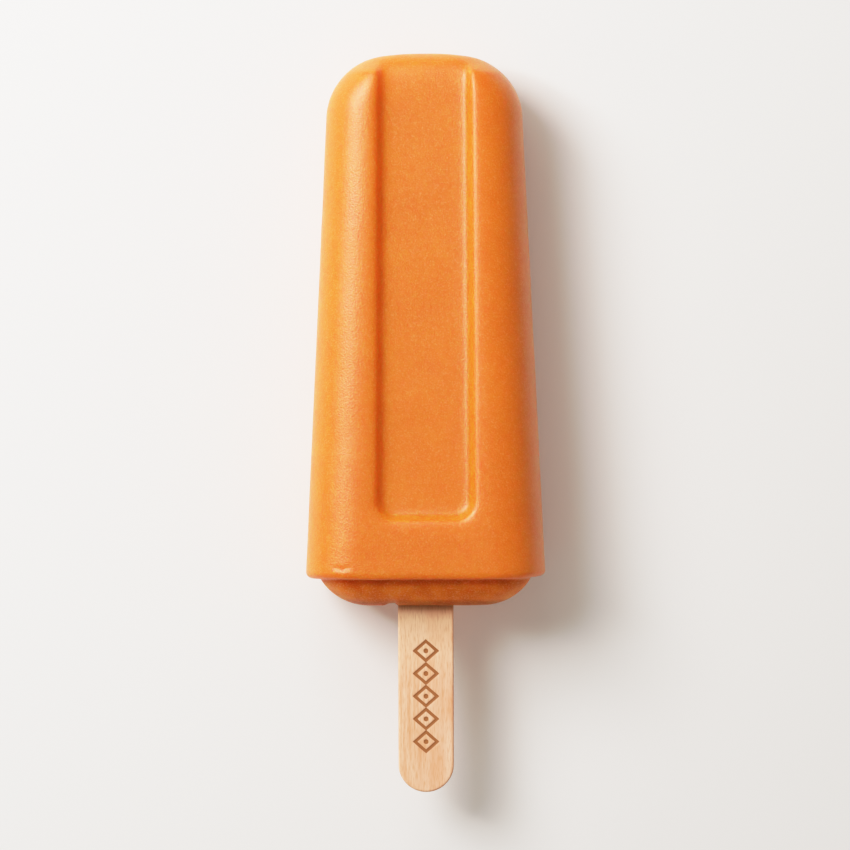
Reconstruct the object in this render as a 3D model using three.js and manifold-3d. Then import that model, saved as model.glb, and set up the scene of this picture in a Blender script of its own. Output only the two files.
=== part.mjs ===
// Ice pop: a frozen fruit bar cast in one piece on a flat wooden stick.
// It lies on its back with the front face up, the rounded top towards +Y and the stick towards -Y.
// All sizes are millimetres.
//
// The shapes are worked out in the bar's own frame: y = 0 is the underside of the rim, +Y runs up
// to the crown, +Z comes out of the front face, and z = 0 is the middle of the bar and the stick.

import * as THREE from 'three'
import { mergeVertices } from 'three/addons/utils/BufferGeometryUtils.js'
import Module from 'manifold-3d'

const wasm = await Module()
wasm.setup()

// The bar seen from the front: drafted sides, large corner arcs and a shallow crown
const BAR_LENGTH = 94.7
const RIM_HALF_WIDTH = 21.7
const SIDE_DRAFT = 0.0473 // half-width lost for each millimetre towards the crown
const CORNER_RADIUS = 11.6
const CROWN_RADIUS = 64

// The bar seen from the side: drafted faces that end in a round dome
const RIM_HALF_THICKNESS = 12.5
const FACE_DRAFT_ANGLE = THREE.MathUtils.degToRad(1.5)
const DOME_HEIGHT = 9
const DOME_POWER = 3.5 // 2 is a plain ellipse, and more keeps the face flat for longer

// The four long edges, and how they open out into the dome
const EDGE_REACH_AT_RIM = 10.2 // how far in from the side and the face an edge is rounded
const EDGE_REACH_AT_TOP = 9
const EDGE_POWER = 2.3 // 2 is a plain arc, and more lets the face turn into the edge softly
const DOME_EDGE_SHARE = 0.58 // share of the half-width that is rounded off in the dome
const DOME_BLEND_LOW = 9.5 // the edges start to open out this far below the crown
const DOME_BLEND_HIGH = 1.5 // and the section is fully rounded from here up

// The lip round the open end of the mould
const RIM_EDGE_WIDTH = 1.3 // rounding at the sides
const RIM_EDGE_DEPTH = 0.7 // rounding at the faces

// The groove pressed into the front and the back
const GROOVE_HALF_WIDTH = 8.36 // to the middle of its wall, at the rim
const GROOVE_DRAFT = 0.004
const GROOVE_END = 11 // middle of its lower wall, above the underside of the rim
const GROOVE_CORNER_RADIUS = 3
const GROOVE_DEPTH = 2.1
const GROOVE_WALL_RUN = 0.7 // half of the run that the wall would need at its steepest
const GROOVE_FADE_LOW = 4 // the rails start to drop to its floor this far below the crown
const GROOVE_FADE_HIGH = 1.6 // and are level with it from here up

// The foot that froze below the rim
const FOOT_HEIGHT = 5
const FOOT_SIDE = { radius: 9.95, flat: 10.4 } // seen from the front
const FOOT_FACE = { radius: 8, flat: 2.4 } // seen from the side
const FOOT_EDGE_AT_RIM = 5.9
const FOOT_EDGE_AT_END = 4.5

// The stick: a standard flat stick with rounded ends and eased edges
const STICK_LENGTH = 114
const STICK_WIDTH = 10
const STICK_THICKNESS = 2
const STICK_EASING = 0.35
const STICK_SHOWING = 33.7 // below the foot
const STICK_CLEARANCE = 0.3 // the slot that the stick fills is this much larger all round

// How finely the bar is divided
const WALL_OFFSETS = [-1.9, -1, -0.45, 0, 0.45, 1, 1.9] // lines along each groove wall
const FLOOR_LINES = 3 // lines from the middle of the floor to the wall
const EDGE_STEPS = 11 // from the groove's outer line to the middle of the side
const EDGE_TRIAL_POINTS = 40 // points that these steps are spaced out along
const FACE_SHARE = 0.62 // in narrow sections the lines along the groove keep to this share
const FOOT_STEPS = 6
const RIM_STEPS = 3
const DOME_STEPS = 15
const BODY_STEP = 8

const FRUIT_ICE = { color: 0xf08a3c, roughness: 0.55, metalness: 0 }
const BIRCH = { color: 0xe9c49c, roughness: 0.7, metalness: 0 }

const { lerp, smoothstep } = THREE.MathUtils

const footEnd = -FOOT_HEIGHT
const stickTop = footEnd - STICK_SHOWING + STICK_LENGTH

function chord(radius, offset) {
  return Math.sqrt(Math.max(0, radius * radius - offset * offset))
}

// Centre of the corner arc, which touches the straight side and the crown arc from inside.
function findCornerCentre(sideNormal, crownCentreY) {
  const sideReach = RIM_HALF_WIDTH - CORNER_RADIUS / sideNormal.x
  const toCrownCentre = CROWN_RADIUS - CORNER_RADIUS
  const a = 1 + SIDE_DRAFT ** 2
  const b = sideReach * SIDE_DRAFT + crownCentreY
  const c = sideReach ** 2 + crownCentreY ** 2 - toCrownCentre ** 2
  const y = (b + Math.sqrt(b * b - a * c)) / a
  return new THREE.Vector2(sideReach - SIDE_DRAFT * y, y)
}

const sideNormal = new THREE.Vector2(1, SIDE_DRAFT).normalize()
const crownCentreY = BAR_LENGTH - CROWN_RADIUS
const cornerCentre = findCornerCentre(sideNormal, crownCentreY)
const sideEndY = cornerCentre.y + CORNER_RADIUS * sideNormal.y
const crownStartY = lerp(crownCentreY, cornerCentre.y, CROWN_RADIUS / (CROWN_RADIUS - CORNER_RADIUS))

function halfWidthAt(y) {
  if (y < sideEndY) return RIM_HALF_WIDTH - SIDE_DRAFT * y
  if (y < crownStartY) return cornerCentre.x + chord(CORNER_RADIUS, y - cornerCentre.y)
  return chord(CROWN_RADIUS, y - crownCentreY)
}

// The drafted face, carried on as a plane past the start of the dome.
function facePlaneAt(y) {
  return RIM_HALF_THICKNESS - Math.tan(FACE_DRAFT_ANGLE) * y
}

// How much of the bar's thickness the dome leaves, from 1 at its foot to 0 at the crown.
function domeShareAt(y) {
  const upTheDome = Math.max(0, y - (BAR_LENGTH - DOME_HEIGHT))
  return (1 - (upTheDome / DOME_HEIGHT) ** DOME_POWER) ** (1 / DOME_POWER)
}

function halfThicknessAt(y) {
  return facePlaneAt(y) * domeShareAt(y)
}

// Each cross-section is a rectangle with soft corners.
function barSection(y) {
  const halfWidth = halfWidthAt(y)
  const halfThickness = halfThicknessAt(y)
  const reach = lerp(EDGE_REACH_AT_RIM, EDGE_REACH_AT_TOP, y / BAR_LENGTH)
  const opening = smoothstep(y, BAR_LENGTH - DOME_BLEND_LOW, BAR_LENGTH - DOME_BLEND_HIGH)
  return {
    y,
    halfWidth,
    halfThickness,
    edgeWidth: lerp(reach, DOME_EDGE_SHARE * halfWidth, opening),
    edgeDepth: lerp(Math.min(reach, halfThickness), halfThickness, opening),
  }
}

// The lip at the rim, where turn goes from 0 on the underside to a quarter turn on the faces.
function rimSection(turn) {
  const rise = RIM_EDGE_WIDTH * (1 - Math.cos(turn))
  const inset = 1 - Math.sin(turn)
  const section = barSection(rise)
  section.halfWidth -= RIM_EDGE_WIDTH * inset
  section.halfThickness -= RIM_EDGE_DEPTH * inset
  return section
}

function footSection(y) {
  const aboveEnd = y - footEnd
  const halfWidth = FOOT_SIDE.flat + chord(FOOT_SIDE.radius, FOOT_SIDE.radius - aboveEnd)
  const halfThickness = FOOT_FACE.flat + chord(FOOT_FACE.radius, FOOT_FACE.radius - aboveEnd)
  const up = aboveEnd / FOOT_HEIGHT
  return {
    y,
    halfWidth,
    halfThickness,
    edgeWidth: lerp(FOOT_EDGE_AT_END, FOOT_EDGE_AT_RIM, up),
    edgeDepth: lerp(halfThickness, FOOT_EDGE_AT_RIM, up),
  }
}

// Distance outside the groove's outline, which is open towards the crown.
function outsideGroove(x, y) {
  const acrossCorner = Math.abs(x) - (grooveHalfWidthAt(y) - GROOVE_CORNER_RADIUS)
  const belowCorner = GROOVE_END + GROOVE_CORNER_RADIUS - y
  const outer = Math.hypot(Math.max(acrossCorner, 0), Math.max(belowCorner, 0))
  const inner = Math.min(Math.max(acrossCorner, belowCorner), 0)
  return outer + inner - GROOVE_CORNER_RADIUS
}

function grooveHalfWidthAt(y) {
  return GROOVE_HALF_WIDTH - GROOVE_DRAFT * y
}

// The mould's long boss is sunk into the face. Its wall is an S, steepest on the outline. Near
// the crown the rails beside the groove drop to the level of its floor.
function pressGroove(x, y, z) {
  const rails = 1 - smoothstep(y, BAR_LENGTH - GROOVE_FADE_LOW, BAR_LENGTH - GROOVE_FADE_HIGH)
  const outside = outsideGroove(x, y) / GROOVE_WALL_RUN
  const onRail = (1 + outside / Math.hypot(1, outside)) / 2
  const sunk = 1 - rails * onRail
  return z * (1 - sunk * GROOVE_DEPTH / facePlaneAt(y))
}

function faceHeight(section, x) {
  const flat = section.halfWidth - section.edgeWidth
  const across = Math.min(1, Math.max(0, x - flat) / section.edgeWidth)
  const left = (1 - across ** EDGE_POWER) ** (1 / EDGE_POWER)
  return section.halfThickness - section.edgeDepth * (1 - left)
}

// The outline from the groove's outer line round the edge to the middle of the side.
function edgeOutline(section, from) {
  const { halfWidth, halfThickness, edgeWidth, edgeDepth } = section
  const flat = halfWidth - edgeWidth
  const startAcross = Math.max(0, from - flat) / edgeWidth
  const startTurn = Math.acos(startAcross ** (EDGE_POWER / 2))
  const points = [new THREE.Vector2(from, faceHeight(section, from))]
  for (let i = 0; i <= EDGE_TRIAL_POINTS; i += 1) {
    const turn = startTurn * (1 - i / EDGE_TRIAL_POINTS)
    const across = Math.cos(turn) ** (2 / EDGE_POWER)
    const left = Math.sin(turn) ** (2 / EDGE_POWER)
    points.push(new THREE.Vector2(
      flat + edgeWidth * across,
      halfThickness - edgeDepth * (1 - left),
    ))
  }
  points.push(new THREE.Vector2(halfWidth, 0))
  return new THREE.Path(points).getSpacedPoints(EDGE_STEPS)
}

// One quarter of a section, from the middle of the face to the middle of the side.
function quarterOutline(section) {
  const groove = grooveHalfWidthAt(section.y)
  const reach = groove + WALL_OFFSETS.at(-1)
  const squeeze = Math.min(1, FACE_SHARE * section.halfWidth / reach)
  const floor = groove + WALL_OFFSETS[0]
  const lines = []
  for (let i = 0; i < FLOOR_LINES; i += 1) lines.push(floor * i / FLOOR_LINES)
  for (const offset of WALL_OFFSETS) lines.push(groove + offset)
  const points = lines.map((line) => {
    const x = line * squeeze
    return new THREE.Vector2(x, faceHeight(section, x))
  })
  const edge = edgeOutline(section, reach * squeeze)
  return [...points, ...edge.slice(1)]
}

// A whole section as a loop that runs front, right side, back, left side.
function sectionLoop(section, grooved) {
  const quarter = quarterOutline(section)
  const height = ({ x, y: z }) => (grooved ? pressGroove(x, section.y, z) : z)
  const place = (point, sideways, outwards) => (
    new THREE.Vector3(sideways * point.x, section.y, outwards * height(point))
  )
  const right = quarter.slice(1)
  const left = quarter.slice(1, -1)
  return [
    place(quarter[0], 1, 1),
    ...right.map((point) => place(point, 1, 1)),
    ...left.toReversed().map((point) => place(point, 1, -1)),
    place(quarter[0], 1, -1),
    ...right.map((point) => place(point, -1, -1)),
    ...left.toReversed().map((point) => place(point, -1, 1)),
  ]
}

// A skin over loops of equally many points, closed by a fan to a point at each end.
function loft(loops, startPoint, endPoint) {
  const size = loops[0].length
  const points = [...loops.flat(), startPoint, endPoint]
  const start = points.length - 2
  const end = points.length - 1
  const index = []
  for (let k = 0; k < size; k += 1) {
    const next = (k + 1) % size
    for (let row = 0; row < loops.length - 1; row += 1) {
      const low = row * size
      const high = low + size
      index.push(low + k, low + next, high + next)
      index.push(low + k, high + next, high + k)
    }
    const last = (loops.length - 1) * size
    index.push(start, next, k)
    index.push(last + k, last + next, end)
  }
  const geometry = new THREE.BufferGeometry().setFromPoints(points)
  geometry.setIndex(index)
  return geometry
}

// Heights of the sections of the bar above its rounded lip, closer together where it curves.
function bodyHeights() {
  const domeStart = BAR_LENGTH - DOME_HEIGHT
  const grooveStraight = GROOVE_END + GROOVE_CORNER_RADIUS
  const heights = [GROOVE_END / 2]
  for (const offset of WALL_OFFSETS) heights.push(GROOVE_END + offset)
  heights.push(grooveStraight)
  const steps = Math.ceil((domeStart - grooveStraight) / BODY_STEP)
  for (let i = 1; i < steps; i += 1) heights.push(lerp(grooveStraight, domeStart, i / steps))
  for (let i = 0; i < DOME_STEPS; i += 1) {
    const turn = Math.PI / 2 * i / DOME_STEPS
    heights.push(domeStart + DOME_HEIGHT * Math.sin(turn))
  }
  return heights
}

function footHeights() {
  const startTurn = Math.asin(1 - FOOT_HEIGHT / FOOT_SIDE.radius)
  const heights = []
  for (let i = 0; i <= FOOT_STEPS; i += 1) {
    const turn = lerp(Math.PI / 2, startTurn, i / FOOT_STEPS)
    heights.push(footEnd + FOOT_SIDE.radius * (1 - Math.sin(turn)))
  }
  return heights
}

function castingGeometry() {
  const loops = footHeights().map((y) => sectionLoop(footSection(y), false))
  for (let i = 0; i <= RIM_STEPS; i += 1) {
    loops.push(sectionLoop(rimSection(Math.PI / 2 * i / RIM_STEPS), false))
  }
  for (const y of bodyHeights()) loops.push(sectionLoop(barSection(y), true))
  return loft(loops, new THREE.Vector3(0, footEnd, 0), new THREE.Vector3(0, BAR_LENGTH, 0))
}

// A flat bar with half-round ends, lying along Y and centred on the origin.
function stickShape(width, length) {
  const radius = width / 2
  const straight = length / 2 - radius
  const shape = new THREE.Shape()
  shape.moveTo(radius, -straight)
  shape.lineTo(radius, straight)
  shape.absarc(0, straight, radius, 0, Math.PI, false)
  shape.lineTo(-radius, -straight)
  shape.absarc(0, -straight, radius, Math.PI, 2 * Math.PI, false)
  return shape
}

function stickGeometry() {
  const shape = stickShape(STICK_WIDTH - 2 * STICK_EASING, STICK_LENGTH - 2 * STICK_EASING)
  const depth = STICK_THICKNESS - 2 * STICK_EASING
  const geometry = new THREE.ExtrudeGeometry(shape, {
    depth,
    bevelThickness: STICK_EASING,
    bevelSize: STICK_EASING,
    bevelSegments: 2,
    curveSegments: 16,
  })
  return geometry.translate(0, 0, -depth / 2)
}

// The space that the stick takes up in the casting, carried on past the end of the foot.
function slotGeometry() {
  const width = STICK_WIDTH + 2 * STICK_CLEARANCE
  const depth = STICK_THICKNESS + 2 * STICK_CLEARANCE
  const length = STICK_LENGTH + 2 * STICK_CLEARANCE
  const geometry = new THREE.ExtrudeGeometry(stickShape(width, length), {
    depth,
    bevelEnabled: false,
    curveSegments: 16,
  })
  return geometry.translate(0, stickTop - STICK_LENGTH / 2, -depth / 2)
}

function toSolid(geometry) {
  const plain = geometry.clone()
  plain.deleteAttribute('normal')
  plain.deleteAttribute('uv')
  const merged = mergeVertices(plain)
  const mesh = new wasm.Mesh({
    numProp: 3,
    vertProperties: new Float32Array(merged.attributes.position.array),
    triVerts: new Uint32Array(merged.index.array),
  })
  return new wasm.Manifold(mesh)
}

function toGeometry(solid) {
  const { vertProperties, triVerts } = solid.getMesh()
  const geometry = new THREE.BufferGeometry()
  geometry.setAttribute('position', new THREE.BufferAttribute(new Float32Array(vertProperties), 3))
  geometry.setIndex(Array.from(triVerts))
  geometry.computeVertexNormals()
  return geometry
}

function makeFrozenBar() {
  const casting = toSolid(castingGeometry())
  const slot = toSolid(slotGeometry())
  const geometry = toGeometry(casting.subtract(slot))
  const bar = new THREE.Mesh(geometry, new THREE.MeshStandardMaterial(FRUIT_ICE))
  bar.name = 'frozen_bar'
  return bar
}

function makeStick() {
  const stick = new THREE.Mesh(stickGeometry(), new THREE.MeshStandardMaterial(BIRCH))
  stick.name = 'stick'
  stick.position.y = stickTop - STICK_LENGTH / 2
  return stick
}

// The pop is turned by the draft of its faces, so that its back lies level, and then moved so
// that the origin is under the middle of the whole object.
const pop = new THREE.Group()
pop.add(makeFrozenBar(), makeStick())
pop.rotation.x = -FACE_DRAFT_ANGLE

const extent = new THREE.Box3().setFromObject(pop, true)
const middle = extent.getCenter(new THREE.Vector3())
pop.position.set(-middle.x, -middle.y, -extent.min.z)

const group = new THREE.Group()
group.add(pop)

export default group
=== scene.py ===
# The looks of an ice pop: a frosted bar of fruit ice on a birch stick, lying on a pale table.
# Shapes are worked out in millimetres in the pop's own frame, where y = 0 is the underside of
# the rim, +Y runs up to the crown and +Z comes out of the front face.
import math

import bmesh
import bpy
import numpy as np
from mathutils import Matrix, Vector, noise


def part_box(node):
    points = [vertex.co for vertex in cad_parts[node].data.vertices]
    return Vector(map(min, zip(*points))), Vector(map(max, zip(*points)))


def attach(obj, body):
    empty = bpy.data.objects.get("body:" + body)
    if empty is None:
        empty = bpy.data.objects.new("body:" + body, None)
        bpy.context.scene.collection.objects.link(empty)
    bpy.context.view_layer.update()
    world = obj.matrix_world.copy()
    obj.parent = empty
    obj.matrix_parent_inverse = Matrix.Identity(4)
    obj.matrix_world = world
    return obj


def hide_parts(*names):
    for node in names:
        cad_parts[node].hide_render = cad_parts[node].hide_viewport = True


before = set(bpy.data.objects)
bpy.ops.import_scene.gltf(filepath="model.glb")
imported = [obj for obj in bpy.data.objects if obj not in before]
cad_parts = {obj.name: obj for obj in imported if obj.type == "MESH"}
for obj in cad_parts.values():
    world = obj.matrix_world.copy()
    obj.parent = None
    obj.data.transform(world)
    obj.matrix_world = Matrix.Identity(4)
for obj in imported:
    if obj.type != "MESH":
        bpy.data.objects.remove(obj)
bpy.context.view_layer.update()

MM = 0.001

# The bar seen from the front
BAR_LENGTH = 94.7
RIM_HALF_WIDTH = 21.7
SIDE_DRAFT = 0.0473
CORNER_RADIUS = 11.6
CROWN_RADIUS = 64.0

# The bar seen from the side
RIM_HALF_THICKNESS = 12.5
FACE_DRAFT_ANGLE = math.radians(1.5)
DOME_HEIGHT = 9.0
DOME_POWER = 3.5  # 2 is a plain ellipse, and more keeps the face flat for longer

# The long edges and the dome
EDGE_REACH_AT_RIM = 10.2
EDGE_REACH_AT_TOP = 9.0
EDGE_POWER = 2.3  # 2 is a plain arc, and more lets the face turn into the edge softly
DOME_EDGE_SHARE = 0.58
DOME_BLEND_LOW = 9.5
DOME_BLEND_HIGH = 1.5

# The lip of the rim
RIM_EDGE_WIDTH = 1.3
RIM_EDGE_DEPTH = 0.7

# The groove in the front and the back
GROOVE_HALF_WIDTH = 8.36
GROOVE_DRAFT = 0.004
GROOVE_END = 11.0
GROOVE_CORNER_RADIUS = 3.0
GROOVE_DEPTH = 2.1
GROOVE_WALL_RUN = 0.7  # half of the run that the wall would need at its steepest
GROOVE_FADE_LOW = 4.0  # the rails drop to its floor between these distances below the crown
GROOVE_FADE_HIGH = 1.6

# The foot below the rim
FOOT_HEIGHT = 5.0
FOOT_SIDE_RADIUS, FOOT_SIDE_FLAT = 9.95, 10.4
FOOT_FACE_RADIUS, FOOT_FACE_FLAT = 8.0, 2.4
FOOT_EDGE_AT_RIM = 5.9
FOOT_EDGE_AT_END = 4.5

# The stick
STICK_LENGTH = 114.0
STICK_HALF_WIDTH = 5.0
STICK_HALF_THICKNESS = 1.0
STICK_EASING = 0.35
STICK_SHOWING = 33.7
FREEZE_GAP = 0.03  # the ice stops this far from the wood, too little to see
POCKET_TIP = 0.05  # half the width that the ice's pocket for the stick narrows to

FOOT_END = -FOOT_HEIGHT
STICK_LOW = FOOT_END - STICK_SHOWING
STICK_HIGH = STICK_LOW + STICK_LENGTH


def place_of_pop():
    """The pop's own frame in the row frame: turned by the draft of its faces, to lie level."""
    low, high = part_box("stick")
    to_stick_middle = Matrix.Translation((0, -(STICK_LOW + STICK_HIGH) / 2 * MM, 0))
    turn = Matrix.Rotation(-FACE_DRAFT_ANGLE, 4, "X")
    return Matrix.Translation((low + high) / 2) @ turn @ to_stick_middle


POP = place_of_pop()


# Shape of the frozen bar

def chord(radius, offset):
    return np.sqrt(np.maximum(0, radius * radius - offset * offset))


def lerp(low, high, share):
    return low + (high - low) * share


def smoothstep(value, low, high):
    share = np.clip((value - low) / (high - low), 0, 1)
    return share * share * (3 - 2 * share)


def find_corner_centre():
    """Centre of the corner arc, which touches the straight side and the crown arc inside."""
    side_reach = RIM_HALF_WIDTH - CORNER_RADIUS * math.hypot(1, SIDE_DRAFT)
    a = 1 + SIDE_DRAFT ** 2
    b = side_reach * SIDE_DRAFT + CROWN_CENTRE
    c = side_reach ** 2 + CROWN_CENTRE ** 2 - (CROWN_RADIUS - CORNER_RADIUS) ** 2
    y = (b + math.sqrt(b * b - a * c)) / a
    return side_reach - SIDE_DRAFT * y, y


CROWN_CENTRE = BAR_LENGTH - CROWN_RADIUS
CORNER_X, CORNER_Y = find_corner_centre()
SIDE_END = CORNER_Y + CORNER_RADIUS * SIDE_DRAFT / math.hypot(1, SIDE_DRAFT)
CROWN_START = lerp(CROWN_CENTRE, CORNER_Y, CROWN_RADIUS / (CROWN_RADIUS - CORNER_RADIUS))


def half_width_at(y):
    if y < SIDE_END:
        return RIM_HALF_WIDTH - SIDE_DRAFT * y
    if y < CROWN_START:
        return CORNER_X + chord(CORNER_RADIUS, y - CORNER_Y)
    return chord(CROWN_RADIUS, y - CROWN_CENTRE)


def face_plane_at(y):
    return RIM_HALF_THICKNESS - math.tan(FACE_DRAFT_ANGLE) * y


def edge_drop(across):
    """How far the face has dropped, as a share, where across goes from 0 to 1 over the edge."""
    return 1 - (1 - np.minimum(1, across) ** EDGE_POWER) ** (1 / EDGE_POWER)


class Section:
    """A cross-section of the bar: a rectangle with soft corners."""

    def __init__(self, y, half_width, half_thickness, edge_width, edge_depth):
        self.y = y
        self.half_width = half_width
        self.half_thickness = half_thickness
        self.edge_width = edge_width
        self.edge_depth = edge_depth

    def face_height(self, x):
        flat = self.half_width - self.edge_width
        across = np.maximum(0, x - flat) / self.edge_width
        return self.half_thickness - self.edge_depth * edge_drop(across)


def dome_share_at(y):
    """How much of the bar's thickness the dome leaves, from 1 at its foot to 0 at the crown."""
    up_the_dome = max(0, y - (BAR_LENGTH - DOME_HEIGHT))
    return (1 - (up_the_dome / DOME_HEIGHT) ** DOME_POWER) ** (1 / DOME_POWER)


def bar_section(y):
    half_width = half_width_at(y)
    half_thickness = face_plane_at(y) * dome_share_at(y)
    reach = lerp(EDGE_REACH_AT_RIM, EDGE_REACH_AT_TOP, y / BAR_LENGTH)
    opening = smoothstep(y, BAR_LENGTH - DOME_BLEND_LOW, BAR_LENGTH - DOME_BLEND_HIGH)
    edge_width = lerp(reach, DOME_EDGE_SHARE * half_width, opening)
    edge_depth = lerp(min(reach, half_thickness), half_thickness, opening)
    return Section(y, half_width, half_thickness, edge_width, edge_depth)


def rim_section(turn):
    """The lip, where turn goes from 0 on the underside to a quarter turn on the faces."""
    inset = 1 - math.sin(turn)
    section = bar_section(RIM_EDGE_WIDTH * (1 - math.cos(turn)))
    section.half_width -= RIM_EDGE_WIDTH * inset
    section.half_thickness -= RIM_EDGE_DEPTH * inset
    return section


def foot_section(y):
    above_end = y - FOOT_END
    half_width = FOOT_SIDE_FLAT + chord(FOOT_SIDE_RADIUS, FOOT_SIDE_RADIUS - above_end)
    half_thickness = FOOT_FACE_FLAT + chord(FOOT_FACE_RADIUS, FOOT_FACE_RADIUS - above_end)
    up = above_end / FOOT_HEIGHT
    edge_width = lerp(FOOT_EDGE_AT_END, FOOT_EDGE_AT_RIM, up)
    edge_depth = lerp(half_thickness, FOOT_EDGE_AT_RIM, up)
    return Section(y, half_width, half_thickness, edge_width, edge_depth)


def blend_sections(a, b, share):
    names = ("y", "half_width", "half_thickness", "edge_width", "edge_depth")
    return Section(*(lerp(getattr(a, name), getattr(b, name), share) for name in names))


def pocket_section(y):
    """The pocket that the stick sits in, which ends in a half round."""
    past_straight = max(0, y - (STICK_HIGH - STICK_HALF_WIDTH))
    half_width = max(POCKET_TIP, chord(STICK_HALF_WIDTH + FREEZE_GAP, past_straight))
    edge = min(STICK_EASING, half_width / 2)
    return Section(y, half_width, STICK_HALF_THICKNESS + FREEZE_GAP, edge, edge)


def groove_half_width_at(y):
    return GROOVE_HALF_WIDTH - GROOVE_DRAFT * y


def outside_groove(x, y):
    """Distance outside the groove's outline, which is open towards the crown."""
    across = x - (groove_half_width_at(y) - GROOVE_CORNER_RADIUS)
    below = GROOVE_END + GROOVE_CORNER_RADIUS - y
    outer = np.hypot(np.maximum(across, 0), max(below, 0))
    inner = np.minimum(np.maximum(across, below), 0)
    return outer + inner - GROOVE_CORNER_RADIUS


def press_groove(x, y, z):
    """Sinks the mould's long boss into the face. Its wall is an S, steepest on the outline.
    Near the crown the rails beside the groove drop to the level of its floor."""
    rails = 1 - smoothstep(y, BAR_LENGTH - GROOVE_FADE_LOW, BAR_LENGTH - GROOVE_FADE_HIGH)
    outside = outside_groove(x, y) / GROOVE_WALL_RUN
    on_rail = (1 + outside / np.hypot(1, outside)) / 2
    sunk = 1 - rails * on_rail
    return z * (1 - sunk * GROOVE_DEPTH / face_plane_at(y))


# The mesh of the bar is a skin over loops, with 0.3 to 0.5 mm between its points. The lines
# along it are closest together within the wall's reach of the groove's outline.
WALL_REACH = 2.4
FLOOR_LINES = 15
WALL_LINES = 17
EDGE_STEPS = 48
EDGE_TRIAL_POINTS = 60
FACE_SHARE = 0.62  # in narrow sections the lines along the groove keep to this share
POCKET_ROUND_LOOPS = 8
POCKET_LOOPS = 12
SOLE_LOOPS = 13
FOOT_LOOPS = 26
UNDERSIDE_LOOPS = 7
LIP_LOOPS = 7
LOOPS_BELOW_GROOVE = 24
GROOVE_CORNER_LOOPS = 19
SIDE_LOOPS = 164
DOME_LOOPS = 42


def edge_outline(section, start):
    """Evenly spaced points from the groove's outer line to the middle of the side."""
    flat = section.half_width - section.edge_width
    first_turn = math.acos((max(0.0, start - flat) / section.edge_width) ** (EDGE_POWER / 2))
    turn = np.linspace(first_turn, 0, EDGE_TRIAL_POINTS)
    arc_x = flat + section.edge_width * np.cos(turn) ** (2 / EDGE_POWER)
    arc_z = section.half_thickness - section.edge_depth * (1 - np.sin(turn) ** (2 / EDGE_POWER))
    x = np.concatenate([[start], arc_x, [section.half_width]])
    z = np.concatenate([[section.face_height(start)], arc_z, [0]])
    run = np.concatenate([[0], np.cumsum(np.hypot(np.diff(x), np.diff(z)))])
    even = np.linspace(0, run[-1], EDGE_STEPS + 1)
    return np.interp(even, run, x), np.interp(even, run, z)


def quarter_outline(section):
    groove = groove_half_width_at(section.y)
    reach = groove + WALL_REACH
    squeeze = min(1, FACE_SHARE * section.half_width / reach)
    floor = np.linspace(0, groove - WALL_REACH, FLOOR_LINES, endpoint=False)
    wall = np.linspace(groove - WALL_REACH, reach, WALL_LINES)
    x = np.concatenate([floor, wall]) * squeeze
    edge_x, edge_z = edge_outline(section, reach * squeeze)
    return (np.concatenate([x, edge_x[1:]]),
            np.concatenate([section.face_height(x), edge_z[1:]]))


def section_loop(section, grooved=False):
    """A loop that runs front, right side, back, left side."""
    x, z = quarter_outline(section)
    if grooved:
        z = press_groove(x, section.y, z)
    loop_x = np.concatenate([x, x[-2::-1], -x[1:], -x[-2:0:-1]])
    loop_z = np.concatenate([z, -z[-2::-1], -z[1:], z[-2:0:-1]])
    return np.column_stack([loop_x, np.full(len(loop_x), section.y), loop_z])


def pocket_sections():
    """The pocket, from its rounded end down to its mouth in the end of the foot."""
    straight_end = STICK_HIGH - STICK_HALF_WIDTH
    rounded = STICK_HALF_WIDTH * np.sin(np.linspace(math.pi / 2, 0, POCKET_ROUND_LOOPS))
    straight = np.linspace(straight_end, FOOT_END, POCKET_LOOPS)[1:]
    return [pocket_section(y) for y in np.concatenate([straight_end + rounded, straight])]


def foot_sections():
    """The foot, from its flat end out round its edge to the underside of the rim."""
    first_turn = math.asin(1 - FOOT_HEIGHT / FOOT_SIDE_RADIUS)
    turns = np.linspace(math.pi / 2, first_turn, FOOT_LOOPS)
    return [foot_section(FOOT_END + FOOT_SIDE_RADIUS * (1 - math.sin(turn))) for turn in turns]


def sections_between(a, b, loops):
    """Sections that lead from one to another, without those two."""
    return [blend_sections(a, b, share) for share in np.linspace(0, 1, loops)[1:-1]]


def heights_above_lip():
    """Where the loops above the lip lie: closer together at the groove's lower end and crown."""
    dome_start = BAR_LENGTH - DOME_HEIGHT
    low_end = GROOVE_END - WALL_REACH
    high_end = GROOVE_END + GROOVE_CORNER_RADIUS
    return np.concatenate([
        np.linspace(RIM_EDGE_WIDTH, low_end, LOOPS_BELOW_GROOVE)[1:],
        np.linspace(low_end, high_end, GROOVE_CORNER_LOOPS)[1:],
        np.linspace(high_end, dome_start, SIDE_LOOPS)[1:],
        dome_start + DOME_HEIGHT * np.sin(np.linspace(0, math.pi / 2, DOME_LOOPS)[1:-1]),
    ])


def bar_loops():
    """All loops of the bar, from the end of the pocket out over the foot and up to the crown."""
    pocket = pocket_sections()
    foot = foot_sections()
    lip = [rim_section(turn) for turn in np.linspace(0, math.pi / 2, LIP_LOOPS)]
    sole = sections_between(pocket[-1], foot[0], SOLE_LOOPS)
    underside = sections_between(foot[-1], lip[0], UNDERSIDE_LOOPS)
    smooth = [section_loop(section) for section in pocket + sole + foot + underside + lip]
    return smooth + [section_loop(bar_section(y), grooved=True) for y in heights_above_lip()]


TINY = 1e-9  # keeps a normal without length from being divided by nought


def loop_normals(loops):
    """Outward normals of a skin over loops, from the points round each point."""
    around = np.roll(loops, -1, axis=1) - np.roll(loops, 1, axis=1)
    along = np.gradient(loops, axis=0)
    normals = np.cross(around, along)
    return normals / np.maximum(TINY, np.linalg.norm(normals, axis=2, keepdims=True))


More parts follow.
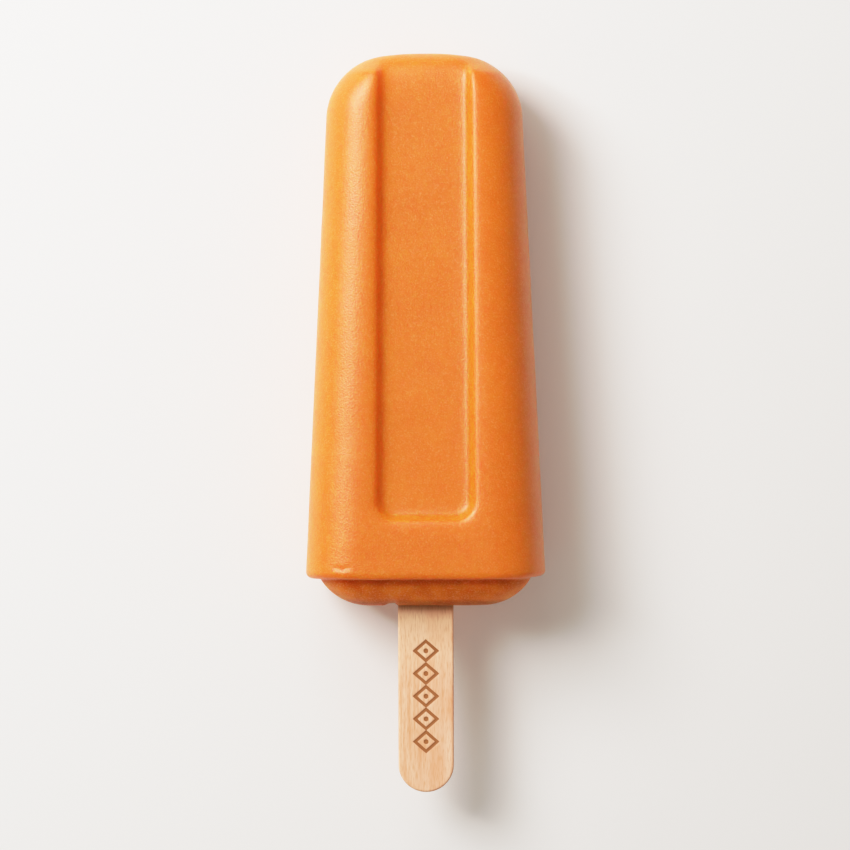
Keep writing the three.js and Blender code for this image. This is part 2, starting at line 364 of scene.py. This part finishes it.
NOISE_STEP = (17.3, 5.9, 11.1)  # moves each noise to a stretch of its own


def noise_at(points, size, seed):
    """Smooth noise from -1 to 1 with lumps of about this size in millimetres, per point."""
    shift = Vector([seed * step for step in NOISE_STEP])
    scaled = points / size
    return np.array([noise.noise(Vector(point) + shift) for point in scaled])


# Unevenness of the casting. It only goes inwards, so that the bar keeps its size.
LEVEL = 0.07
BROAD_LUMPS, BROAD_HEIGHT = 7.0, 0.05
SMALL_LUMPS, SMALL_HEIGHT = 2.4, 0.014

# The short wavy scrape in the front, above the rim
SCRAPE_LEFT, SCRAPE_RIGHT, SCRAPE_FADE = -16.6, -13.2, 0.6
SCRAPE_HEIGHT, SCRAPE_WAVE, SCRAPE_WAVELENGTH = 2.0, 0.22, 2.2
SCRAPE_DEPTH, SCRAPE_WIDTH = 0.13, 0.4

# The ice that drew up round the stick, and the notch beside the stick
DRAWN_UP_BAND = 1.2  # how far it shows from the end of the foot
DIMPLE_DEPTH, DIMPLE_REACH = 0.06, 2.4
NOTCH_DEPTH = 0.42
NOTCH_START, NOTCH_FULL, NOTCH_LAST_FULL, NOTCH_STOP = -7.8, -6.3, -5.7, -4.95

# The ups and downs of the rim's lower edge, and its rise to the right
RIM_BAND = 1.3
RIM_INNER, RIM_OUTER = 0.7, 0.9  # shares of the way out to the rim, where they begin and are full
RIM_WAVE, RIM_WAVELENGTH = 0.08, 3.5
RIM_RISE, RIM_RISE_START = 0.33, 16.5


def within(value, start, full, last_full, stop):
    """1 in the middle of a stretch, fading to 0 at both ends."""
    return smoothstep(value, start, full) * (1 - smoothstep(value, last_full, stop))


def bell(distance, width):
    return np.exp(-(distance / width) ** 2)


def scrape_by_rim(points):
    """How deep the short wavy scrape is."""
    x, y, z = points.T
    wave = np.sin((x - SCRAPE_LEFT) / SCRAPE_WAVELENGTH * 2 * math.pi)
    along = within(x, SCRAPE_LEFT, SCRAPE_LEFT + SCRAPE_FADE,
                   SCRAPE_RIGHT - SCRAPE_FADE, SCRAPE_RIGHT)
    across = bell(y - (SCRAPE_HEIGHT + SCRAPE_WAVE * wave), SCRAPE_WIDTH)
    return np.where(z > 0, SCRAPE_DEPTH * along * across, 0)


def uneven_depth(points):
    """How far the surface lies in from the mould, in millimetres."""
    broad = BROAD_HEIGHT * noise_at(points, BROAD_LUMPS, seed=1)
    small = SMALL_HEIGHT * noise_at(points, SMALL_LUMPS, seed=2)
    return np.clip(LEVEL + broad + small + scrape_by_rim(points), 0, None)


def rise_round_stick(points):
    """How far the end of the foot draws up where it froze against the stick."""
    x, y, z = points.T
    off_side = np.maximum(0, np.abs(x) - STICK_HALF_WIDTH)
    off_face = np.maximum(0, np.abs(z) - STICK_HALF_THICKNESS)
    dimple = DIMPLE_DEPTH * bell(np.hypot(off_side, off_face), DIMPLE_REACH)
    notch = NOTCH_DEPTH * within(x, NOTCH_START, NOTCH_FULL, NOTCH_LAST_FULL, NOTCH_STOP)
    return bell(y - FOOT_END, DRAWN_UP_BAND) * (dimple + notch)


def wave_of_rim(points):
    """How far the rim's lower edge lies above the mould's."""
    x, y, z = points.T
    along_rim = np.column_stack([x, z, np.zeros(len(x))])
    outward = np.hypot(x / RIM_HALF_WIDTH, z / RIM_HALF_THICKNESS)
    near_rim = bell(y, RIM_BAND) * smoothstep(outward, RIM_INNER, RIM_OUTER)
    rise = RIM_RISE * smoothstep(x, RIM_RISE_START, RIM_HALF_WIDTH)
    return near_rim * (rise + RIM_WAVE * noise_at(along_rim, RIM_WAVELENGTH, seed=3))


def new_object(name, points, faces):
    """A smooth-shaded piece from points in millimetres in the pop's own frame."""
    mesh = bpy.data.meshes.new(name)
    mesh.from_pydata((points * MM).tolist(), [], faces)
    mesh.transform(POP)
    mesh.validate()
    mesh.shade_smooth()
    piece = bpy.data.objects.new(name, mesh)
    bpy.context.scene.collection.objects.link(piece)
    return piece


def skin_faces(rings, size):
    """Four-sided faces between neighbouring loops."""
    faces = []
    for ring in range(rings - 1):
        low = ring * size
        high = low + size
        for k in range(size):
            after = (k + 1) % size
            faces.append((low + k, low + after, high + after, high + k))
    return faces


def make_frozen_bar():
    loops = np.array(bar_loops())
    rings, size = loops.shape[:2]
    normals = loop_normals(loops).reshape(-1, 3)
    points = loops.reshape(-1, 3)
    in_pocket = np.arange(len(points)) < len(pocket_sections()) * size
    depth = np.where(in_pocket, 0, uneven_depth(points))
    lift = rise_round_stick(points) + wave_of_rim(points)
    points = points - normals * depth[:, None]
    points[:, 1] += np.where(in_pocket, 0, lift)

    faces = skin_faces(rings, size)
    pocket_end = [0, STICK_HIGH, 0]
    crown = [0, BAR_LENGTH - LEVEL, 0]
    last = (rings - 1) * size
    for k in range(size):
        after = (k + 1) % size
        faces.append((len(points), after, k))
        faces.append((last + k, last + after, len(points) + 1))
    return new_object("fruit_ice_bar", np.vstack([points, pocket_end, crown]), faces)


# Shape of the stick

ORNAMENT_MIDDLE = -21.4
LOZENGES = 5
LOZENGE_PITCH = 4.1
LOZENGE_HALF_WIDTH = 2.0
LOZENGE_HALF_LENGTH = 1.75
BURNT_LINE = 0.5
BURNT_DOT_RADIUS = 0.42
BURNT_SOFTNESS = 0.16
BURNT_DEPTH = 0.08


def soft_cover(distance, reach):
    """1 inside a burnt line or dot and 0 outside, where distance is from its middle."""
    return 1 - smoothstep(distance, reach - BURNT_SOFTNESS / 2, reach + BURNT_SOFTNESS / 2)


def burnt_mark(x, y):
    """From 0 to 1, how far the burnt row of lozenges with dots covers a point of the front."""
    lozenge = np.round((y - ORNAMENT_MIDDLE) / LOZENGE_PITCH)
    lozenge = np.clip(lozenge, -(LOZENGES // 2), LOZENGES // 2)
    along = y - ORNAMENT_MIDDLE - lozenge * LOZENGE_PITCH
    reach = np.abs(x) / LOZENGE_HALF_WIDTH + np.abs(along) / LOZENGE_HALF_LENGTH
    to_line = np.abs(reach - 1) / math.hypot(1 / LOZENGE_HALF_WIDTH, 1 / LOZENGE_HALF_LENGTH)
    line = soft_cover(to_line, BURNT_LINE / 2)
    dot = soft_cover(np.hypot(x, along), BURNT_DOT_RADIUS)
    return np.maximum(line, dot)


# The mesh of the stick is a skin over outlines, closest together where the burnt mark is
SHOWING_ROWS = 190
HIDDEN_ROWS = 41
ROUND_END_POINTS = 60
FACE_LOOPS = 30
EASED_LOOPS = 5
FRONT_TOLERANCE = 0.01


def stick_outline(inset):
    """The stick's outline drawn in by this much: right side up, top round, left side down."""
    radius = STICK_HALF_WIDTH - inset
    low = STICK_LOW + STICK_HALF_WIDTH
    high = STICK_HIGH - STICK_HALF_WIDTH
    side = np.concatenate([np.linspace(low, FOOT_END, SHOWING_ROWS, endpoint=False),
                           np.linspace(FOOT_END, high, HIDDEN_ROWS)])
    turn = np.linspace(0, math.pi, ROUND_END_POINTS)[1:-1]
    top = np.column_stack([radius * np.cos(turn), high + radius * np.sin(turn)])
    bottom = np.column_stack([-radius * np.cos(turn), low - radius * np.sin(turn)])
    right = np.column_stack([np.full(len(side), radius), side])
    left = np.column_stack([np.full(len(side), -radius), side[::-1]])
    return np.vstack([right, top, left, bottom])


def stick_loops():
    """Outlines from the middle line of the back, round the eased edges, to that of the front."""
    face = np.linspace(STICK_HALF_WIDTH, STICK_EASING, FACE_LOOPS)
    profile = [(inset, STICK_HALF_THICKNESS) for inset in face]
    for turn in np.linspace(0, math.pi / 2, EASED_LOOPS)[1:]:
        inset = STICK_EASING * (1 - math.sin(turn))
        height = STICK_HALF_THICKNESS - STICK_EASING + STICK_EASING * math.cos(turn)
        profile.append((inset, height))
    front = profile[::-1]
    back = [(inset, -height) for inset, height in profile]
    loops = []
    for inset, height in back + front:
        outline = stick_outline(inset)
        loops.append(np.column_stack([outline, np.full(len(outline), height)]))
    return np.array(loops)


def make_stick():
    loops = stick_loops()
    rings, size = loops.shape[:2]
    points = loops.reshape(-1, 3)
    x, y, z = points.T
    on_front = z > STICK_HALF_THICKNESS - FRONT_TOLERANCE
    burnt = np.where(on_front, burnt_mark(x, y), 0)
    points[:, 2] -= BURNT_DEPTH * burnt
    stick = new_object("birch_stick", points, skin_faces(rings, size))
    attribute = stick.data.attributes.new("burnt", "FLOAT", "POINT")
    attribute.data.foreach_set("value", burnt.astype(np.float32))
    weld(stick)
    return stick


WELD_DISTANCE = 0.001


def weld(piece):
    """Joins points that lie on each other, and the faces that then have no area go."""
    shape = bmesh.new()
    shape.from_mesh(piece.data)
    bmesh.ops.remove_doubles(shape, verts=shape.verts, dist=WELD_DISTANCE * MM)
    bmesh.ops.recalc_face_normals(shape, faces=shape.faces)
    shape.to_mesh(piece.data)
    shape.free()


# Materials

def colour(code):
    """A colour given as sRGB hex, turned to linear."""
    values = [int(code[i:i + 2], 16) / 255 for i in (0, 2, 4)]
    linear = [v / 12.92 if v <= 0.04045 else ((v + 0.055) / 1.055) ** 2.4 for v in values]
    return (*linear, 1.0)


def per_metre(size):
    """Scale of a pattern whose repeats are this many millimetres."""
    return 1 / (size * MM)


def add_node(tree, kind, settings=None, **links):
    """Adds a node. Settings are its properties or socket values, links what feeds its sockets."""
    node = tree.nodes.new(kind)
    for name, value in (settings or {}).items():
        if hasattr(node, name):
            setattr(node, name, value)
        else:
            node.inputs[name].default_value = value
    for name, source in links.items():
        tree.links.new(source, node.inputs[name.replace("_", " ")])
    return node


def new_material(name):
    material = bpy.data.materials.new(name)
    material.use_nodes = True
    material.node_tree.nodes.clear()
    return material, material.node_tree


def own_place(tree, along=1.0):
    """Place in the pop's own frame. Patterns are drawn out along the pop where along is under 1."""
    turned = POP.inverted()
    place = add_node(tree, "ShaderNodeTexCoord").outputs["Object"]
    level = add_node(tree, "ShaderNodeMapping", {
        "Location": turned.to_translation(), "Rotation": turned.to_euler()}, Vector=place)
    drawn_out = add_node(tree, "ShaderNodeMapping", {"Scale": (1.0, along, 1.0)},
                         Vector=level.outputs[0])
    return drawn_out.outputs[0]


# The Mix node's sockets for colours, which share their names with those for numbers
MIX_UNDER, MIX_OVER, MIX_RESULT = 6, 7, 2


def paint(tree, under, over, where, start, full, cover=1.0):
    """Lays a colour over another. It starts to show where a value passes start, and from full
    on it covers this share. Each colour is sRGB hex or comes out of another node."""
    share = add_node(tree, "ShaderNodeMapRange", {
        "From Min": start, "From Max": full, "To Min": 0.0, "To Max": cover}, Value=where)
    mix = add_node(tree, "ShaderNodeMix", {"data_type": "RGBA"}, Factor=share.outputs[0])
    for number, value in ((MIX_UNDER, under), (MIX_OVER, over)):
        if isinstance(value, str):
            mix.inputs[number].default_value = colour(value)
        else:
            tree.links.new(value, mix.inputs[number])
    return mix.outputs[MIX_RESULT]


# The ice. The real frost grains are about 0.1 mm, too fine to show, so they are drawn coarser.
CLOUD_SIZE = 9.0
PULP_SIZE = 0.9
DRIP_SIZE = 3.2
RIPPLE_SIZE = 0.7
FROST_GRAIN = 0.3
JUICE, JUICE_PALE = "E07E0A", "E48310"
PULP = "F29A42"
CLEAR_ICE, CLEAR_ICE_PALE = "E07812", "F29432"
# Painted shade: the foot's ice is darker just under the rim, where the rim's shadow falls.
PAINTED_SHADE_UNDER_RIM = "B85408"
# Painted shade: darker ice at the foot's end, where it meets the stick and the table.
PAINTED_SHADE_AT_FOOT_END = "A0440A"
RIME = "FFC594"
FROST = "FFCA92"
SKIN_RIPPLE, SKIN_GRAIN = 0.022, 0.036  # heights that the light meets that goes in
GLOSS_RIPPLE, GLOSS_GRAIN = 0.009, 0.032  # and those that the light meets that is thrown back


def ice_colour(tree, place, height, frost):
    """Juice with paler pulp in it, over a clearer and darker foot, and frost on both. Painted shade
    darkens the foot just under the rim and at its end by the stick.
    """
    clouds = add_node(tree, "ShaderNodeTexNoise", {"Scale": per_metre(CLOUD_SIZE), "Detail": 3.0},
                      Vector=place).outputs["Fac"]
    pulp = add_node(tree, "ShaderNodeTexNoise", {"Scale": per_metre(PULP_SIZE), "Detail": 2.0},
                    Vector=place).outputs["Fac"]
    drips = add_node(tree, "ShaderNodeTexNoise", {"Scale": per_metre(DRIP_SIZE), "Detail": 3.0},
                     Vector=place).outputs["Fac"]
    ice = paint(tree, JUICE, JUICE_PALE, where=clouds, start=0.35, full=0.65)
    ice = paint(tree, ice, PULP, where=pulp, start=0.35, full=0.65, cover=0.2)
    foot = paint(tree, CLEAR_ICE, CLEAR_ICE_PALE, where=drips, start=0.38, full=0.62)
    foot = paint(tree, foot, RIME, where=frost, start=0.48, full=0.75, cover=0.36)
    # Painted shade under the rim, where the rim shades the top of the foot.
    foot = paint(tree, foot, PAINTED_SHADE_UNDER_RIM, where=height,
                 start=-1.7 * MM, full=-0.6 * MM, cover=0.35)
    ice = paint(tree, ice, foot, where=height, start=0.3 * MM, full=-0.3 * MM, cover=0.8)
    # Painted shade at the end of the foot, by the stick.
    ice = paint(tree, ice, PAINTED_SHADE_AT_FOOT_END, where=height,
                start=-3.6 * MM, full=-4.4 * MM, cover=0.6)
    return paint(tree, ice, FROST, where=frost, start=0.5, full=0.78, cover=0.22)


def grained_surface(tree, ripples, grains, ripple_height, grain_height):
    """The slopes of a skin with ripples and frost grains of these heights in millimetres."""
    rippled = add_node(tree, "ShaderNodeBump", {"Distance": ripple_height * MM}, Height=ripples)
    grained = add_node(tree, "ShaderNodeBump", {"Distance": grain_height * MM, "invert": True},
                       Height=grains, Normal=rippled.outputs["Normal"])
    return grained.outputs["Normal"]


def fruit_ice():
    """Frozen fruit ice out of a cold metal mould. The eye sees a strong warm colour that goes a
    little deep, under a dull skin of frost grains that breaks up the highlights. Ice has an IOR
    of 1.31, and the frosted skin throws back more light, so it is matched with a higher one."""
    material, tree = new_material("fruit_ice_frosted")
    place = own_place(tree)
    height = add_node(tree, "ShaderNodeSeparateXYZ", Vector=place).outputs["Y"]
    frost = add_node(tree, "ShaderNodeTexNoise", {"Scale": per_metre(FROST_GRAIN), "Detail": 1.0},
                     Vector=place).outputs["Fac"]
    ripples = add_node(tree, "ShaderNodeTexNoise", {"Scale": per_metre(RIPPLE_SIZE), "Detail": 1.0},
                       Vector=place).outputs["Fac"]
    grains = add_node(tree, "ShaderNodeTexVoronoi", {
        "feature": "SMOOTH_F1", "Smoothness": 0.4, "Scale": per_metre(FROST_GRAIN)},
        Vector=place).outputs["Distance"]
    roughness = add_node(tree, "ShaderNodeMapRange", {
        "From Min": 0.1, "From Max": 0.6, "To Min": 0.42, "To Max": 0.6}, Value=grains)
    frosted_above_rim = add_node(tree, "ShaderNodeMapRange", {
        "From Min": -0.3 * MM, "From Max": 0.3 * MM, "To Min": 0.15, "To Max": 1.0}, Value=height)
    shader = add_node(tree, "ShaderNodeBsdfPrincipled", {
        "IOR": 1.45,
        "Specular IOR Level": 0.3,
        "Subsurface Weight": 1.0,
        "Subsurface Radius": (0.6, 0.065, 0.025),
        "Subsurface Scale": 10 * MM,
        "Coat Roughness": 0.4,
        "Coat IOR": 1.55,
    },
        Base_Color=ice_colour(tree, place, height, frost),
        Roughness=roughness.outputs[0],
        Normal=grained_surface(tree, ripples, grains, SKIN_RIPPLE, SKIN_GRAIN),
        Coat_Weight=frosted_above_rim.outputs[0],
        Coat_Normal=grained_surface(tree, ripples, grains, GLOSS_RIPPLE, GLOSS_GRAIN))
    add_node(tree, "ShaderNodeOutputMaterial", Surface=shader.outputs["BSDF"])
    return material


# The wood. Real fibres are about 0.03 mm wide, too fine to show, so they are drawn coarser.
STREAK_WIDTH = 0.55
BAND_WIDTH = 3.5
FIBRE_WIDTH = 0.2
BLOTCH_SIZE = 4.5
STREAK_STRETCH, FIBRE_STRETCH, BLOTCH_STRETCH = 0.045, 0.12, 0.5  # width for a length of 1
STREAK_HEIGHT = 0.03
WOOD, WOOD_PALE = "E0A884", "F6D0B4"
WOOD_BAND = "F4CCB4"
# Painted light: the wood is paler near the ice, and this also lifts the shade and orange glow that
# the foot throws on it.
WOOD_PAINTED_LIGHT_BY_ICE = "FFDCBC"
WOOD_FLECK = "CC9468"
WOOD_BLOTCH = "E2A078"
# Juice soaked into the wood where it meets the ice, darkened further as painted contact shade.
WOOD_SOAKED_AND_SHADED = "B4703C"
BURNT_EDGE, BURNT_CORE = "865A36", "A67448"


def wood_colour(tree, streaks):
    """Streaks, bands, flecks and blotches. Paler near the ice, partly painted light over the foot's
    shade, and soaked where it meets it, with painted contact shade.
    """
    height = add_node(tree, "ShaderNodeSeparateXYZ", Vector=own_place(tree)).outputs["Y"]
    bands = add_node(tree, "ShaderNodeTexNoise", {"Scale": per_metre(BAND_WIDTH), "Detail": 2.0},
                     Vector=own_place(tree, along=STREAK_STRETCH)).outputs["Fac"]
    fibres = add_node(tree, "ShaderNodeTexNoise", {"Scale": per_metre(FIBRE_WIDTH), "Detail": 1.0},
                      Vector=own_place(tree, along=FIBRE_STRETCH)).outputs["Fac"]
    blotches = add_node(tree, "ShaderNodeTexNoise", {"Scale": per_metre(BLOTCH_SIZE), "Detail": 1.5},
                        Vector=own_place(tree, along=BLOTCH_STRETCH)).outputs["Fac"]
    wood = paint(tree, WOOD, WOOD_PALE, where=streaks, start=0.3, full=0.7)
    wood = paint(tree, wood, WOOD_BAND, where=bands, start=0.35, full=0.65, cover=0.35)
    # Paler near the ice: partly the wood's own tone, partly painted light over the foot's shade.
    wood = paint(tree, wood, WOOD_PAINTED_LIGHT_BY_ICE, where=height, start=-18 * MM, full=-7 * MM, cover=0.9)
    wood = paint(tree, wood, WOOD_FLECK, where=fibres, start=0.52, full=0.3, cover=0.42)
    wood = paint(tree, wood, WOOD_BLOTCH, where=blotches, start=0.5, full=0.72, cover=0.4)
    # Soaked with juice where it meets the ice, with painted contact shade.
    return paint(tree, wood, WOOD_SOAKED_AND_SHADED, where=height, start=-5.9 * MM, full=-5.1 * MM, cover=0.45)


def birch():
    """Birch veneer, die-cut and tumbled. The eye sees pale, dry wood with fine streaks along it,
    and the marks of a hot stamp in brown, darkest at their edges."""
    material, tree = new_material("birch_tumbled")
    streaks = add_node(tree, "ShaderNodeTexNoise", {
        "Scale": per_metre(STREAK_WIDTH), "Detail": 4.0, "Roughness": 0.65},
        Vector=own_place(tree, along=STREAK_STRETCH)).outputs["Fac"]
    burnt = add_node(tree, "ShaderNodeAttribute", {"attribute_name": "burnt"}).outputs["Fac"]
    brown = paint(tree, BURNT_EDGE, BURNT_CORE, where=burnt, start=0.6, full=1.0)
    stamped = paint(tree, wood_colour(tree, streaks), brown, where=burnt, start=0.1, full=0.7)
    bump = add_node(tree, "ShaderNodeBump", {"Strength": 0.5, "Distance": STREAK_HEIGHT * MM},
                    Height=streaks)
    roughness = add_node(tree, "ShaderNodeMapRange", {
        "From Min": 0.3, "From Max": 0.7, "To Min": 0.6, "To Max": 0.78}, Value=streaks)
    shader = add_node(tree, "ShaderNodeBsdfPrincipled", {"IOR": 1.45}, Base_Color=stamped,
                      Roughness=roughness.outputs[0], Normal=bump.outputs["Normal"])
    add_node(tree, "ShaderNodeOutputMaterial", Surface=shader.outputs["BSDF"])
    return material


def lit_table():
    """Opal acrylic with light under it. The eye sees a dull pale ground, also in the shadow."""
    material, tree = new_material("table_opal_acrylic")
    shader = add_node(tree, "ShaderNodeBsdfPrincipled", {
        "Base Color": colour("E2E2E2"), "Roughness": 0.9, "Specular IOR Level": 0.2,
        "Emission Color": colour("FFFFFF"), "Emission Strength": 0.1})
    add_node(tree, "ShaderNodeOutputMaterial", Surface=shader.outputs["BSDF"])
    return material


# Table, light and camera

TABLE_REACH = 1.5


def make_table():
    signs = ((-1, -1), (1, -1), (1, 1), (-1, 1))
    corners = [(x * TABLE_REACH, y * TABLE_REACH, 0) for x, y in signs]
    mesh = bpy.data.meshes.new("table")
    mesh.from_pydata(corners, [], [(0, 1, 2, 3)])
    table = bpy.data.objects.new("table", mesh)
    bpy.context.scene.collection.objects.link(table)
    table.data.materials.append(lit_table())


SOFTBOX_DISTANCE = 0.62
SOFTBOX_AIM = Vector((0, 0, 0.012))
ROOM_LIGHT = 0.3
ROOM_COLOUR = "FFEFDC"


def add_softbox(name, azimuth, from_vertical, width, height, power):
    """A softbox aimed at the pop. Its angles are in degrees, and azimuth runs from +X to +Y."""
    light = bpy.data.lights.new(name, "AREA")
    light.shape = "RECTANGLE"
    light.size = width
    light.size_y = height
    light.energy = power
    lamp = bpy.data.objects.new(name, light)
    bpy.context.scene.collection.objects.link(lamp)
    turn, lean = math.radians(azimuth), math.radians(from_vertical)
    away = Vector((math.sin(lean) * math.cos(turn), math.sin(lean) * math.sin(turn),
                   math.cos(lean)))
    lamp.location = SOFTBOX_AIM + away * SOFTBOX_DISTANCE
    lamp.rotation_euler = away.to_track_quat("Z", "Y").to_euler()


def light_the_table():
    add_softbox("softbox_left", azimuth=141, from_vertical=45, width=0.26, height=0.4, power=3.0)
    add_softbox("softbox_small", azimuth=157, from_vertical=43, width=0.06, height=0.16, power=0.45)
    add_softbox("softbox_top", azimuth=115, from_vertical=50, width=0.5, height=0.17, power=0.85)
    world = bpy.data.worlds.new("studio")
    world.use_nodes = True
    background = world.node_tree.nodes["Background"]
    background.inputs["Color"].default_value = colour(ROOM_COLOUR)
    background.inputs["Strength"].default_value = ROOM_LIGHT
    bpy.context.scene.world = world


# Brightness of the finished picture for that of the scene, both linear
WHITE_LEVEL = 1.4
PRINT_WHITE = 0.97
PRINT_CURVE = ((0.03, 0.018), (0.1, 0.082), (0.24, 0.245),
               (0.4, 0.47), (0.75, 0.81), (1.0, 0.91))


def develop():
    """Gives the picture the contrast of a printed product photograph."""
    view = bpy.context.scene.view_settings
    view.view_transform = "Standard"
    view.use_curve_mapping = True
    mapping = view.curve_mapping
    mapping.white_level = (WHITE_LEVEL, WHITE_LEVEL, WHITE_LEVEL)
    curve = mapping.curves[3]  # the one for all three colours together
    curve.points[1].location = (1.0, PRINT_WHITE)
    for scene_value, printed in PRINT_CURVE:
        curve.points.new(scene_value / WHITE_LEVEL, printed)
    mapping.update()


# The photograph is 850 pixels square, and shows the pop square on at 5.53 pixels per millimetre
PICTURE_SIDE = 850
PIXELS_PER_MM = 5.53
PICTURE_MIDDLE = (-0.04, 27.6)  # the point of the pop that is in the middle of the picture
PICTURE_ROLL = math.radians(-0.17)
LENS = 200.0
SENSOR = 36.0


def make_camera():
    camera = bpy.data.objects.new("camera", bpy.data.cameras.new("camera"))
    camera.data.lens = LENS
    camera.data.sensor_width = SENSOR
    distance = PICTURE_SIDE / PIXELS_PER_MM * LENS / SENSOR
    x, y = PICTURE_MIDDLE
    place = Matrix.Translation((x * MM, y * MM, distance * MM))
    camera.matrix_world = POP @ place @ Matrix.Rotation(PICTURE_ROLL, 4, "Z")
    bpy.context.scene.collection.objects.link(camera)
    bpy.context.scene.camera = camera


def finish_piece(piece, material, node):
    piece.data.materials.append(material)
    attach(piece, "root")
    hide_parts(node)


make_camera()
finish_piece(make_frozen_bar(), fruit_ice(), "frozen_bar")
finish_piece(make_stick(), birch(), "stick")
make_table()
light_the_table()
develop()
